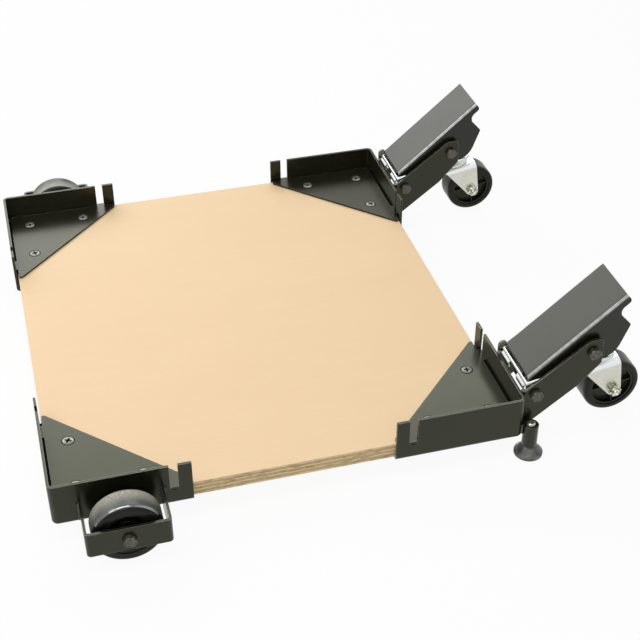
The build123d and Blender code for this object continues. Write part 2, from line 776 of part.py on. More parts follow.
make_platform_and_brackets()
make_fixed_wheel("front", 1)
make_fixed_wheel("back", -1)
for unit_name, unit_place in unit_places.items():
    make_pedal_unit(unit_name, unit_place)
make_foot("front", "front_right")
make_foot("back", "back_right")
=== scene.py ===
import json
import math

import bmesh
import bpy
from mathutils import Matrix, Vector


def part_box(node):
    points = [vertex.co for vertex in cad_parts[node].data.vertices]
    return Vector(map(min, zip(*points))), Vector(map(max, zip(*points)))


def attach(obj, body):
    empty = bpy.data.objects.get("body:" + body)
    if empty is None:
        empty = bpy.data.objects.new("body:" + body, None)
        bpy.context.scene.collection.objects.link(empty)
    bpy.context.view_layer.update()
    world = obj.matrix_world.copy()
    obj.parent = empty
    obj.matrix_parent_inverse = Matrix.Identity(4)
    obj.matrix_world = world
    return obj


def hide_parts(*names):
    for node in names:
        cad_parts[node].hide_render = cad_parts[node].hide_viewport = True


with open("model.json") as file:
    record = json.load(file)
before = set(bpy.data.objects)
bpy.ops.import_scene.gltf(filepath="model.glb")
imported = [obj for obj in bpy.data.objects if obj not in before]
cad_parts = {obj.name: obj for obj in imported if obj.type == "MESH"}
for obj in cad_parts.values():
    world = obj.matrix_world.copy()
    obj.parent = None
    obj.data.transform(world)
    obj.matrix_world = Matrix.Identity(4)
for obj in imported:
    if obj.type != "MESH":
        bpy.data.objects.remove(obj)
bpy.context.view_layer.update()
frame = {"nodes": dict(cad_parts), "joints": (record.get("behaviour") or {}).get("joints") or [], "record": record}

# Machine mobile base: finishes, fastener details, weld beads, light and camera.
# Metres, +Z up, floor at z = 0, +X from the fixed wheels towards the pedals.

nodes = frame["nodes"]
joints = {joint["name"]: joint for joint in frame["joints"]}
SIDES = ("front", "back")
CORNERS = ("front_left", "front_right", "back_left", "back_right")
MM = 0.001

# Camera, worked out from the photograph's perspective
PHOTO_PIXELS = 640
FOCAL_PIXELS = 1301.0
SENSOR = 36.0
CAMERA_PLACE = Vector((-0.3206, -1.2778, 0.9975))
CAMERA_TARGET = Vector((0.0025, -0.0900, 0.0790))
CAMERA_ROLL = math.radians(-0.16)


def place_camera():
    forward = (CAMERA_TARGET - CAMERA_PLACE).normalized()
    right = forward.cross(Vector((0, 0, 1))).normalized()
    up = right.cross(forward)
    turn = Matrix.Rotation(CAMERA_ROLL, 3, -forward)
    axes = Matrix((turn @ right, turn @ up, -forward)).transposed()
    data = bpy.data.cameras.new("camera")
    data.sensor_width = SENSOR
    data.lens = FOCAL_PIXELS / PHOTO_PIXELS * SENSOR
    camera = bpy.data.objects.new("camera", data)
    camera.matrix_world = Matrix.Translation(CAMERA_PLACE) @ axes.to_4x4()
    bpy.context.scene.collection.objects.link(camera)
    bpy.context.scene.camera = camera


class Value:
    """A shader socket that ordinary arithmetic works on."""

    def __init__(self, finish, socket):
        self.finish = finish
        self.socket = socket

    def math(self, operation, first, second=0.0):
        made = self.finish.node("ShaderNodeMath", {"operation": operation}, {0: first, 1: second})
        return made["Value"]

    def __add__(self, other):
        return self.math("ADD", self, other)

    def __radd__(self, other):
        return self.math("ADD", other, self)

    def __sub__(self, other):
        return self.math("SUBTRACT", self, other)

    def __rsub__(self, other):
        return self.math("SUBTRACT", other, self)

    def __mul__(self, other):
        return self.math("MULTIPLY", self, other)

    def __rmul__(self, other):
        return self.math("MULTIPLY", other, self)

    def __pow__(self, other):
        return self.math("POWER", self, other)

    def __abs__(self):
        return self.math("ABSOLUTE", self)

    def fraction(self):
        return self.math("FRACT", self)

    def between(self, low, high):
        """0 below low, 1 above high, and smooth in between."""
        limits = {"Value": self, "From Min": low, "From Max": high}
        made = self.finish.node("ShaderNodeMapRange", {"interpolation_type": "SMOOTHSTEP"}, limits)
        return made["Result"]


class Made:
    """The outputs of a new node, as values."""

    def __init__(self, finish, node):
        self.finish = finish
        self.node = node

    def __getitem__(self, key):
        return Value(self.finish, self.node.outputs[key])


class Finish:
    """A procedural material whose nodes are all made through node()."""

    def __init__(self, name, constants):
        self.material = bpy.data.materials.new(name)
        self.material.use_nodes = True
        self.tree = self.material.node_tree
        self.shader = self.tree.nodes["Principled BSDF"]
        for socket, value in constants.items():
            self.shader.inputs[socket].default_value = value

    def node(self, kind, settings, inputs):
        made = self.tree.nodes.new(kind)
        for name, value in settings.items():
            setattr(made, name, value)
        for key, value in inputs.items():
            if isinstance(value, Value):
                self.tree.links.new(value.socket, made.inputs[key])
            else:
                made.inputs[key].default_value = value
        return Made(self, made)

    def drive(self, socket, value):
        self.tree.links.new(value.socket, self.shader.inputs[socket])

    def place(self):
        return self.node("ShaderNodeTexCoord", {}, {})["Object"]

    def stretched(self, scale):
        return self.node("ShaderNodeMapping", {}, {"Vector": self.place(), "Scale": scale})["Vector"]

    def noise(self, scale, detail=2.0, vector=None):
        inputs = {"Vector": vector or self.place(), "Scale": scale, "Detail": detail}
        return self.node("ShaderNodeTexNoise", {}, inputs)["Fac"]

    def axis(self, name):
        return self.node("ShaderNodeSeparateXYZ", {}, {"Vector": self.place()})[name]

    def facing_up(self):
        normal = self.node("ShaderNodeNewGeometry", {}, {})["Normal"]
        return self.node("ShaderNodeSeparateXYZ", {}, {"Vector": normal})["Z"]

    def edges(self, radius):
        """1 along the corners of a piece and 0 on its flat faces."""
        normal = self.node("ShaderNodeNewGeometry", {}, {})["Normal"]
        directions = {0: self.eased_normal(radius), 1: normal}
        agree = self.node("ShaderNodeVectorMath", {"operation": "DOT_PRODUCT"}, directions)["Value"]
        return (1.0 - agree).between(0.01, 0.22)

    def eased_normal(self, radius):
        return self.node("ShaderNodeBevel", {"samples": 6}, {"Radius": radius})["Normal"]

    def blend(self, factor, first, second):
        made = self.node("ShaderNodeMix", {"data_type": "RGBA"}, {0: factor, 6: first, 7: second})
        return made[2]

    def bump(self, height, strength, distance, radius):
        """Drive the normal with a height over corners eased by a radius."""
        inputs = {"Height": height, "Strength": strength, "Distance": distance}
        inputs["Normal"] = self.eased_normal(radius)
        self.drive("Normal", self.node("ShaderNodeBump", {}, inputs)["Normal"])


def shade(red, green, blue):
    return (red, green, blue, 1.0)


BUFFED = {"Coat IOR": 2.0, "Coat Roughness": 0.10}
SHOE_POLISHED = {"Coat IOR": 2.7, "Coat Roughness": 0.07}
COAT_TINT = shade(0.97, 1.0, 0.72)
PEDAL_TINT = shade(0.97, 1.0, 0.90)
RUBBER_TINT = shade(0.97, 1.0, 0.75)
PEDAL_SLOPE = math.radians(40.15)
PEDAL_TOP = 27.8 * MM
PEDAL_HALF = 33.2 * MM
PEDAL_BEND = 4.5 * MM


def along_pedal_bends(finish, side):
    """1 on the rounded long edges of a pedal, which shoes keep polished."""
    pivot = joints[f"{side}_pedal_hinge"]["pos_m"]
    low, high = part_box(f"{side}_pedal")
    up = (finish.axis("Z") - pivot[2]) * math.cos(PEDAL_SLOPE)
    back = (finish.axis("X") - pivot[0]) * math.sin(PEDAL_SLOPE)
    out = abs(finish.axis("Y") - (low.y + high.y) / 2)
    corner = (up - back - (PEDAL_TOP - PEDAL_BEND)) + (out - (PEDAL_HALF - PEDAL_BEND))
    return (corner * math.sqrt(0.5)).between(0.84 * PEDAL_BEND, 0.96 * PEDAL_BEND)


EAR_FROM_PIVOT = (-9.1 * MM, 13.5 * MM)
EAR_RADIUS = 5.2 * MM


def around_ear(finish, side):
    """1 on the rounded ear of a rear arm, where painted light lifts its shaded face to a lighter grey."""
    pivot = joints[f"{side}_carrier_hinge"]["pos_m"]
    out = finish.axis("X") - (pivot[0] + EAR_FROM_PIVOT[0])
    up = finish.axis("Z") - (pivot[2] + EAR_FROM_PIVOT[1])
    near = 1.0 - ((out * out + up * up) ** 0.5).between(0.9 * EAR_RADIUS, 1.1 * EAR_RADIUS)
    return near * (finish.axis("Y") - pivot[1]).between(0.0, EAR_RADIUS)


def black_powder_coat(name, tint=COAT_TINT, gloss=BUFFED, wear=0.45, side=None,
                      painted_light_at=None, polished_at=None):
    """Glossy coat with a fine peel, its corners painted lighter from wear and a painted highlight, and lighter or
    glossier where a mask of its side says.
    """
    finish = Finish(name, {"Specular IOR Level": 0.42, "Specular Tint": tint, **gloss})
    mottle = finish.noise(26.0, 4.0)
    peel = finish.noise(1100.0, 2.0)
    corner = finish.edges(0.9 * MM)
    uneven = finish.noise(140.0, 3.0).between(0.30, 0.75)
    # Corners painted lighter: partly edge wear, partly a painted highlight along the sheet edges.
    wear_and_painted_light = corner * (0.55 + uneven) * wear
    polish = corner * (1.8 * wear)
    # Painted light: where this mask says, such as the arm's ear, a part lying in shade is painted a lighter grey.
    if painted_light_at:
        wear_and_painted_light = wear_and_painted_light + painted_light_at(finish, side)
    if polished_at:
        polish = polish + polished_at(finish, side) * (0.6 + 0.4 * uneven)
    coat = finish.blend(mottle, shade(0.0095, 0.0095, 0.0050), shade(0.0150, 0.0150, 0.0085))
    finish.drive("Base Color", finish.blend(wear_and_painted_light, coat, shade(0.24, 0.24, 0.20)))
    finish.drive("Roughness", 0.19 + 0.10 * mottle - 0.03 * corner)
    finish.drive("Coat Weight", polish.between(0.0, 1.0))
    finish.bump(peel, 0.05, 0.10 * MM, 0.6 * MM)
    return finish.material


def black_oxide():
    """Dark bolt steel, mottled and worn on its corners."""
    finish = Finish("black_oxide", {"Metallic": 0.6})
    mottle = finish.noise(420.0, 4.0)
    corner = finish.edges(0.5 * MM)
    steel = finish.blend(mottle.between(0.30, 0.70), shade(0.045, 0.044, 0.034), shade(0.150, 0.148, 0.122))
    finish.drive("Base Color", finish.blend(corner * 0.5, steel, shade(0.30, 0.30, 0.27)))
    finish.drive("Roughness", 0.24 + 0.20 * mottle)
    finish.bump(mottle, 0.10, 0.10 * MM, 0.35 * MM)
    return finish.material


def dark_sealant():
    """Matt black fill laid in the slits beside the corner plates: painted shade standing in for the slits' shadow.
    """
    finish = Finish("dark_sealant", {"Specular IOR Level": 0.08})
    lump = finish.noise(300.0, 3.0)
    finish.drive("Base Color", finish.blend(lump, shade(0.003, 0.003, 0.002), shade(0.008, 0.008, 0.005)))
    finish.drive("Roughness", 0.60 + 0.25 * lump)
    finish.bump(lump, 0.30, 0.30 * MM, 0.3 * MM)
    return finish.material


PAINTED_SHADE = "dirt"


def grey_steel():
    """Plain screw and washer steel with a light turning grain, and painted shade where a screw's attribute marks
    its driver recess and the rim of its head.
    """
    finish = Finish("grey_steel", {"Metallic": 0.9})
    grain = finish.noise(700.0, 3.0)
    corner = finish.edges(0.4 * MM)
    dirt = finish.node("ShaderNodeAttribute", {"attribute_name": PAINTED_SHADE}, {})["Fac"]
    steel = finish.blend(grain, shade(0.15, 0.15, 0.13), shade(0.26, 0.258, 0.228))
    worn = finish.blend(corner * 0.4, steel, shade(0.40, 0.40, 0.37))
    finish.drive("Base Color", finish.blend(dirt, worn, shade(0.010, 0.010, 0.008)))
    finish.drive("Roughness", 0.24 + 0.14 * grain + 0.30 * dirt)
    finish.bump(grain, 0.08, 0.08 * MM, 0.3 * MM)
    return finish.material


FORK_BEND = 8.0 * MM
FORK_CROWN_HIGHLIGHT = shade(0.82, 0.83, 0.86)
WARM_ZINC = (shade(0.56, 0.56, 0.48), shade(0.74, 0.74, 0.65))
COOL_ZINC = (shade(0.55, 0.60, 0.60), shade(0.68, 0.73, 0.73))


def over_fork_crown(finish):
    """1 on the crown and the upper bends of the caster forks, where a painted highlight makes the plating lighter.
    """
    axis = joints["front_caster_swivel"]["axis"]
    fork = nodes["front_caster_fork"].data
    top = max(vertex.co.x * axis[0] + vertex.co.z * axis[2] for vertex in fork.vertices)
    height = finish.axis("X") * axis[0] + finish.axis("Z") * axis[2]
    return (height - top).between(-0.92 * FORK_BEND, -0.70 * FORK_BEND)


def zinc_plating(name, dull, clear, highlight_at=None):
    """Zinc plating: pale, softly cloudy and slightly scratched, with a painted highlight where a mask says."""
    finish = Finish(name, {"Metallic": 0.92})
    cloud = finish.noise(60.0, 4.0)
    scratch = finish.noise(900.0, 3.0, finish.stretched((0.12, 1.0, 1.0)))
    corner = finish.edges(0.6 * MM)
    plating = finish.blend(cloud, dull, clear)
    if highlight_at:
        # Painted highlight: the fork's crown and upper bends are painted lighter, for the overhead light they
        # reflect.
        plating = finish.blend(highlight_at(finish), plating, FORK_CROWN_HIGHLIGHT)
    finish.drive("Base Color", finish.blend(corner * 0.5, plating, shade(0.86, 0.86, 0.82)))
    finish.drive("Roughness", 0.16 + 0.12 * cloud + 0.08 * scratch)
    finish.bump(scratch, 0.06, 0.08 * MM, 0.5 * MM)
    return finish.material


def plated_bolts():
    """Bright plating of the caster bolts, with dark olive patches of painted reflection and corners painted
    lighter as a highlight.
    """
    finish = Finish("plated_bolts", {"Metallic": 1.0})
    patch = finish.noise(330.0, 2.0).between(0.44, 0.56)
    corner = finish.edges(0.5 * MM)
    # Painted reflection: dark olive patches break up the plating, and the corners carry a painted highlight.
    plating = finish.blend(patch, shade(0.20, 0.21, 0.12), shade(0.78, 0.78, 0.70))
    finish.drive("Base Color", finish.blend(corner * 0.6, plating, shade(0.92, 0.92, 0.88)))
    finish.drive("Roughness", 0.14 + 0.10 * patch)
    finish.bump(patch, 0.10, 0.10 * MM, 0.4 * MM)
    return finish.material


def around_axle(finish, axle):
    """Distance from a wheel's axle, in metres."""
    out = finish.axis("X") - axle[0]
    up = finish.axis("Z") - axle[2]
    return (out * out + up * up) ** 0.5


def mould_rings(radius, start, spacing):
    """Shallow rings of a moulded sidewall, outward from a radius."""
    ring = abs(((radius - start) * (1.0 / spacing)).fraction() - 0.5).between(0.05, 0.30)
    return ring * (1.0 - radius.between(start + 2.5 * spacing, start + 3.0 * spacing))


# Radii over which a tyre turns from sidewall to tread, and from sidewall to polished shoulder
FIXED_TREAD = (37.28 * MM, 37.46 * MM)
FIXED_SHOULDER = (36.0 * MM, 36.5 * MM)
CASTER_TREAD = (31.5 * MM, 33.8 * MM)
# Distances along the axle from a fixed wheel's middle over which its polish and its dust fade
POLISH_FADE = 4.0 * MM
DUST_FADE = (8.0 * MM, 7.0 * MM)


def grey_rubber():
    """Moulded solid tyre of the fixed wheels: dusty on the bracket's side, polished on its outer shoulder."""
    finish = Finish("grey_rubber", {"Specular IOR Level": 0.18, "Coat IOR": 3.2, "Coat Roughness": 0.12})
    radius = around_axle(finish, joints["front_wheel_spin"]["pos_m"])
    tread = radius.between(*FIXED_TREAD)
    middle = abs(joints["front_wheel_spin"]["pos_m"][1])
    outer = abs(finish.axis("Y")).between(middle, middle + POLISH_FADE)
    shoulder = radius.between(*FIXED_SHOULDER) * (1.0 - tread) * outer
    inner = 1.0 - abs(finish.axis("Y")).between(middle - DUST_FADE[0], middle + DUST_FADE[1])
    dust = finish.noise(55.0, 5.0).between(0.28, 0.72)
    grit = finish.noise(850.0, 4.0).between(0.36, 0.64)
    fine = finish.noise(620.0, 3.0)
    rubber = finish.blend(dust, shade(0.007, 0.008, 0.006), shade(0.018, 0.019, 0.015))
    # The clean tread's grey is partly scuffing and partly a painted sheen standing in for its reflection of the
    # light above.
    clean = finish.blend(dust, shade(0.085, 0.094, 0.088), shade(0.150, 0.158, 0.144))
    dusty = finish.blend(grit, shade(0.250, 0.248, 0.202), shade(0.500, 0.492, 0.405))
    finish.drive("Base Color", finish.blend(tread, rubber, finish.blend(inner, clean, dusty)))
    finish.drive("Roughness", 0.16 + 0.06 * dust + tread * (0.06 + 0.24 * inner))
    finish.drive("Coat Weight", shoulder * (1.0 - 0.85 * dust))
    finish.bump(fine + mould_rings(radius, start=29.0 * MM, spacing=1.6 * MM), 0.08, 0.10 * MM, 0.4 * MM)
    return finish.material


def black_tread():
    """Harder, shinier tyre of the swivel casters."""
    finish = Finish("black_tread", {"Specular IOR Level": 0.24, "Specular Tint": RUBBER_TINT})
    radius = around_axle(finish, joints["front_caster_spin"]["pos_m"])
    tread = radius.between(*CASTER_TREAD)
    dust = finish.noise(70.0, 4.0)
    fine = finish.noise(700.0, 2.0)
    rubber = finish.blend(dust.between(0.4, 0.8), shade(0.006, 0.006, 0.004), shade(0.014, 0.014, 0.010))
    worn = finish.blend(dust, shade(0.040, 0.040, 0.036), shade(0.090, 0.090, 0.080))
    finish.drive("Base Color", finish.blend(tread, rubber, worn))
    finish.drive("Roughness", 0.24 + 0.16 * dust)
    finish.bump(fine + mould_rings(radius, start=27.6 * MM, spacing=1.2 * MM), 0.14, 0.16 * MM, 0.4 * MM)
    return finish.material


def black_moulding():
    """Moulded plastic of the wheel cores, its corners painted lighter as a highlight on the spokes and rims."""
    finish = Finish("black_moulding", {"Specular IOR Level": 0.26, "Specular Tint": RUBBER_TINT})
    cloud = finish.noise(90.0, 3.0)
    fine = finish.noise(1100.0, 2.0)
    corner = finish.edges(0.8 * MM)
    plastic = finish.blend(cloud, shade(0.004, 0.004, 0.003), shade(0.011, 0.011, 0.008))
    # Painted highlight: corners are painted lighter, for the glint on the spoke and rim edges.
    finish.drive("Base Color", finish.blend(corner * 0.6, plastic, shade(0.20, 0.20, 0.17)))
    finish.drive("Roughness", 0.20 + 0.12 * cloud)
    finish.bump(fine, 0.06, 0.08 * MM, 0.6 * MM)
    return finish.material


def grey_pad():
    """Moulded dome of the levelling feet, scuffed to a cloudy grey."""
    finish = Finish("grey_pad", {"Specular IOR Level": 0.5, **BUFFED})
    cloud = finish.noise(120.0, 4.0).between(0.30, 0.70)
    fine = finish.noise(1100.0, 2.0)
    corner = finish.edges(0.8 * MM)
    plastic = finish.blend(cloud, shade(0.060, 0.061, 0.053), shade(0.190, 0.190, 0.168))
    finish.drive("Base Color", finish.blend(corner * 0.4, plastic, shade(0.20, 0.20, 0.18)))
    finish.drive("Roughness", 0.18 + 0.14 * cloud)
    finish.drive("Coat Weight", corner * 0.4)
    finish.bump(fine, 0.06, 0.08 * MM, 0.6 * MM)
    return finish.material


PLY_LAYERS = 7


def plywood():
    """Pale sanded face with faint grain along X, and crossed layers on the cut edges."""
    finish = Finish("plywood", {"Specular IOR Level": 0.35})
    low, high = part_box("plywood_platform")
    patch = finish.noise(9.0, 4.0, finish.stretched((0.5, 1.6, 1.0)))
    fibre = finish.noise(260.0, 4.0, finish.stretched((0.05, 1.0, 1.0)))
    fleck = finish.noise(900.0, 2.0, finish.stretched((0.09, 1.0, 1.0))).between(0.60, 0.76)
    face = finish.blend(patch, shade(0.895, 0.655, 0.395), shade(0.935, 0.695, 0.430))
    face = finish.blend(fibre.between(0.35, 0.70) * 0.13, face, shade(0.84, 0.60, 0.345))
    face = finish.blend(fleck * 0.12, face, shade(0.64, 0.44, 0.25))

    wander = finish.noise(30.0, 3.0, finish.stretched((1.0, 1.0, 4.0)))
    level = (finish.axis("Z") - low.z) * (PLY_LAYERS / (high.z - low.z)) + 0.9 * (wander - 0.5)
    crossed = (level * 0.5).fraction().between(0.44, 0.56)
    glue = 1.0 - abs(level.fraction() - 0.5).between(0.38, 0.47)
    long_grain = finish.noise(500.0, 4.0, finish.stretched((0.04, 0.04, 1.6)))
    end_grain = finish.noise(520.0, 3.0)
    splinter = finish.noise(420.0, 3.0, finish.stretched((0.22, 0.22, 1.5))).between(0.53, 0.66)
    pale_layer = finish.blend(long_grain, shade(0.92, 0.68, 0.37), shade(1.0, 0.82, 0.50))
    dark_layer = finish.blend(end_grain, shade(0.52, 0.37, 0.18), shade(0.90, 0.67, 0.37))
    layers = finish.blend(crossed, pale_layer, dark_layer)
    layers = finish.blend((1.0 - glue) * 0.40, layers, shade(0.25, 0.17, 0.08))
    layers = finish.blend(splinter * 0.6, layers, shade(0.30, 0.20, 0.09))

    edge = 1.0 - abs(finish.facing_up()).between(0.35, 0.75)
    finish.drive("Base Color", finish.blend(edge, face, layers))
    finish.drive("Roughness", 0.48 + 0.14 * fibre + 0.15 * edge)
    finish.bump(fibre + edge * (long_grain + end_grain), 0.14, 0.20 * MM, 0.6 * MM)
    return finish.material


powder_coat = black_powder_coat("black_powder_coat")
fillet_coat = black_powder_coat("fillet_coat", wear=0.0)
slit_shade = dark_sealant()
oxide = black_oxide()
steel = grey_steel()
zinc = zinc_plating("bright_zinc", *WARM_ZINC)
fork_zinc = zinc_plating("fork_zinc", *WARM_ZINC, highlight_at=over_fork_crown)
cool_zinc = zinc_plating("cool_zinc", *COOL_ZINC)
fixed_tyre = grey_rubber()
caster_tyre = black_tread()
moulding = black_moulding()
pad = grey_pad()
caster_bolts = plated_bolts()
wood = plywood()

finish_of_slot = {
    "plywood": wood,
    "black_steel": powder_coat,
    "black_hardware": oxide,
    "steel_hardware": steel,
    "zinc": zinc,
    "grey_tyre": fixed_tyre,
    "black_tyre": caster_tyre,
    "black_plastic": moulding,
}


finish_of_node = {}
for side in SIDES:
    finish_of_node[f"{side}_pedal"] = black_powder_coat(
        f"{side}_pedal_coat", PEDAL_TINT, SHOE_POLISHED, wear=0.10, side=side, polished_at=along_pedal_bends)
    finish_of_node[f"{side}_lever_arms"] = black_powder_coat(
        f"{side}_arm_coat", wear=0.85, side=side, painted_light_at=around_ear)
    finish_of_node[f"{side}_foot_pad"] = pad
    finish_of_node[f"{side}_caster_carrier"] = cool_zinc
    finish_of_node[f"{side}_caster_fork"] = fork_zinc
    finish_of_node[f"{side}_caster_nut"] = caster_bolts
    finish_of_node[f"{side}_caster_axle"] = caster_bolts


def paint_cad_nodes():
    for subpart in frame["record"]["subparts"]:
        node = subpart["node"]
        mesh = nodes[node].data
        mesh.materials.clear()
        mesh.materials.append(finish_of_node.get(node, finish_of_slot[subpart["material_slot"]]))


def link(piece):
    bpy.context.scene.collection.objects.link(piece)
    return piece


def mesh_piece(name, verts, edges, faces):
    mesh = bpy.data.meshes.new(name)
    mesh.from_pydata(verts, edges, faces)
    mesh.update()
    return link(bpy.data.objects.new(name, mesh))


class Tree:
    """A Geometry Nodes tree with named inputs, ending in realized, painted geometry."""

    def __init__(self, name):
        self.group = bpy.data.node_groups.new(name, "GeometryNodeTree")
        self.socket("Geometry", "NodeSocketGeometry")
        self.group.interface.new_socket("Geometry", in_out="OUTPUT", socket_type="NodeSocketGeometry")
        self.start = self.group.nodes.new("NodeGroupInput")
        self.end = self.group.nodes.new("NodeGroupOutput")
        self.identifiers = {}

    def socket(self, name, kind):
        return self.group.interface.new_socket(name, in_out="INPUT", socket_type=kind)

    def size(self, name, kind="NodeSocketFloat"):
        """A named input that a modifier sets."""
        self.identifiers[name] = self.socket(name, kind).identifier
        return self.start.outputs[name]

    def node(self, kind, settings, inputs):
        made = self.group.nodes.new(kind)
        for name, value in settings.items():
            setattr(made, name, value)
        for key, value in inputs.items():
            if isinstance(value, bpy.types.NodeSocket):
                self.group.links.new(value, made.inputs[key])
            else:
                made.inputs[key].default_value = value
        return made.outputs

    def points(self):
        return self.start.outputs["Geometry"]

    def close(self, geometry, material):
        real = self.node("GeometryNodeRealizeInstances", {}, {"Geometry": geometry})["Geometry"]
        painted = self.node("GeometryNodeSetMaterial", {}, {"Geometry": real, "Material": material})
        self.group.links.new(painted["Geometry"], self.end.inputs[0])

    def applied(self, name, source, sizes, body, slot):
        """Run the tree on a source object and leave a plain mesh that rides on a body."""
        grown = source.modifiers.new("tree", "NODES")
        grown.node_group = self.group
        for key, value in sizes.items():
            grown[self.identifiers[key]] = value
        ready = source.evaluated_get(bpy.context.evaluated_depsgraph_get())
        mesh = bpy.data.meshes.new_from_object(ready)
        source.modifiers.remove(grown)
        bpy.data.objects.remove(source)
        mesh.name = name
        piece = link(bpy.data.objects.new(name, mesh))
        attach(piece, body)
        return piece


# Fasteners, threads and weld beads
SCREW_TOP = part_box("platform_screws")[1].z
# The three screws of a plate, in millimetres from the bracket's outer corner
SCREW_SPREAD = ((30.0, 30.0), (101.5, 30.0), (30.0, 101.5))
SCREW_HEAD = 6.75 * MM
SCREW_DOME = 0.8 * MM
SCREW_NECK = 4.9 * MM
SCREW_SHANK = 2.4 * MM
SCREW_TIP = 15.8 * MM
SCREW_RINGS = 20
SCREW_AROUND = 72
SCREW_RIM = 0.5 * MM
CROSS_ARM = 4.1 * MM
CROSS_WIDTH = 0.95 * MM
CROSS_DEPTH = 2.8 * MM


def outer_corner(bracket):
    """Outer corner of a bracket and the directions of its legs."""
    low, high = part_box(bracket)
    x, along_x = (low.x, 1) if "left" in bracket else (high.x, -1)
    y, along_y = (low.y, 1) if "front" in bracket else (high.y, -1)
    return x, y, along_x, along_y


def screw_places():
    places = []
    for corner in CORNERS:
        x, y, along_x, along_y = outer_corner(f"{corner}_bracket")
        for far_x, far_y in SCREW_SPREAD:
            places.append((x + along_x * far_x * MM, y + along_y * far_y * MM, SCREW_TOP))
    return places


def eased_step(value, low, high):
    share = min(max((value - low) / (high - low), 0.0), 1.0)
    return share * share * (3 - 2 * share)


def cross_recess(x, y):
    """1 inside the driver recess of the screw head and 0 outside it."""
    long_way = max(abs(x), abs(y))
    short_way = min(abs(x), abs(y))
    inside = 1 - eased_step(short_way, CROSS_WIDTH * 0.8, CROSS_WIDTH * 1.35)
    return inside * (1 - eased_step(long_way, CROSS_ARM * 0.85, CROSS_ARM))


def recess_depth(x, y):
    taper = 1.15 - 0.6 * max(abs(x), abs(y)) / CROSS_ARM
    return cross_recess(x, y) * CROSS_DEPTH * taper


def screw_shape():
    """Countersunk screw turned from rings, with a low dome standing on z = 0."""
    rings = []
    for i in range(1, SCREW_RINGS + 1):
        share = i / SCREW_RINGS
        rings.append((SCREW_HEAD * share, SCREW_DOME * (1 - share ** 3)))
    rings += [(SCREW_SHANK, -SCREW_NECK), (SCREW_SHANK, SCREW_SHANK - SCREW_TIP)]
    verts = [(0, 0, SCREW_DOME - recess_depth(0, 0))]
    dirt = [1.0]
    for radius, level in rings:
        # Painted shade: the rim of the head and the cross recess are marked dark, for the shadow in the
        # countersink gap and the recess.
        rim = 1.0 if radius > SCREW_HEAD - SCREW_RIM else 0.0
        for k in range(SCREW_AROUND):
            x = radius * math.cos(2 * math.pi * k / SCREW_AROUND)
            y = radius * math.sin(2 * math.pi * k / SCREW_AROUND)
            depth = recess_depth(x, y) if level > 0.0 else 0.0
            verts.append((x, y, level - depth))
            dirt.append(max(rim, cross_recess(x, y)))
    verts.append((0, 0, -SCREW_TIP))
    dirt.append(0.0)
    faces = []
    for k in range(SCREW_AROUND):
        after = (k + 1) % SCREW_AROUND
        faces.append((0, 1 + k, 1 + after))
        for ring in range(len(rings) - 1):
            inner = 1 + ring * SCREW_AROUND
            outer = inner + SCREW_AROUND
            faces.append((inner + k, outer + k, outer + after, inner + after))
        last = 1 + (len(rings) - 1) * SCREW_AROUND
        faces.append((last + k, len(verts) - 1, last + after))
    shape = mesh_piece("screw_shape", verts, [], faces)
    shape.data.polygons.foreach_set("use_smooth", [True] * len(faces))
    shape.data.attributes.new(PAINTED_SHADE, "FLOAT", "POINT").data.foreach_set("value", dirt)
    return shape


def platform_screws():
    tree = Tree("platform_screws")
    shape = tree.size("Screw", "NodeSocketObject")
    most_turn = tree.size("Turn", "NodeSocketVector")
    screw = tree.node("GeometryNodeObjectInfo", {}, {"Object": shape})["Geometry"]
    turn = tree.node("FunctionNodeRandomValue", {"data_type": "FLOAT_VECTOR"},
                     {"Max": most_turn, "Seed": 4})["Value"]
    placed = tree.node("GeometryNodeInstanceOnPoints", {},
                       {"Points": tree.points(), "Instance": screw, "Rotation": turn})["Instances"]
    tree.close(placed, steel)
    single = screw_shape()
    points = mesh_piece("screw_points", screw_places(), [], [])
    piece = tree.applied("flat_head_screws", points, {"Screw": single, "Turn": (0.0, 0.0, math.pi / 2)},
                         "base", "steel_hardware")
    bpy.data.objects.remove(single)
    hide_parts("platform_screws")


def thread_tree(name, material):
    """A screw thread from each point, along the turned Z axis."""
    tree = Tree(name)
    radius = tree.size("Radius")
    pitch = tree.size("Pitch")
    turns = tree.size("Turns")
    ridge = tree.size("Ridge")
    lean = tree.size("Lean", "NodeSocketVector")
    height = tree.node("ShaderNodeMath", {"operation": "MULTIPLY"}, {0: pitch, 1: turns})["Value"]
    helix = tree.node("GeometryNodeCurveSpiral", {},
                      {"Resolution": 28, "Rotations": turns, "Start Radius": radius,
                       "End Radius": radius, "Height": height})["Curve"]
    profile = tree.node("GeometryNodeCurvePrimitiveCircle", {}, {"Resolution": 4, "Radius": ridge})["Curve"]
    thread = tree.node("GeometryNodeCurveToMesh", {},
                       {"Curve": helix, "Profile Curve": profile, "Fill Caps": True})["Mesh"]
    placed = tree.node("GeometryNodeInstanceOnPoints", {},
                       {"Points": tree.points(), "Instance": thread, "Rotation": lean})["Instances"]
    tree.close(placed, material)
    return tree


BOLT_THREAD = {"Radius": 3.95 * MM, "Pitch": 1.25 * MM, "Turns": 1.6, "Ridge": 0.34 * MM}
TAIL_LENGTH = 2.4 * MM


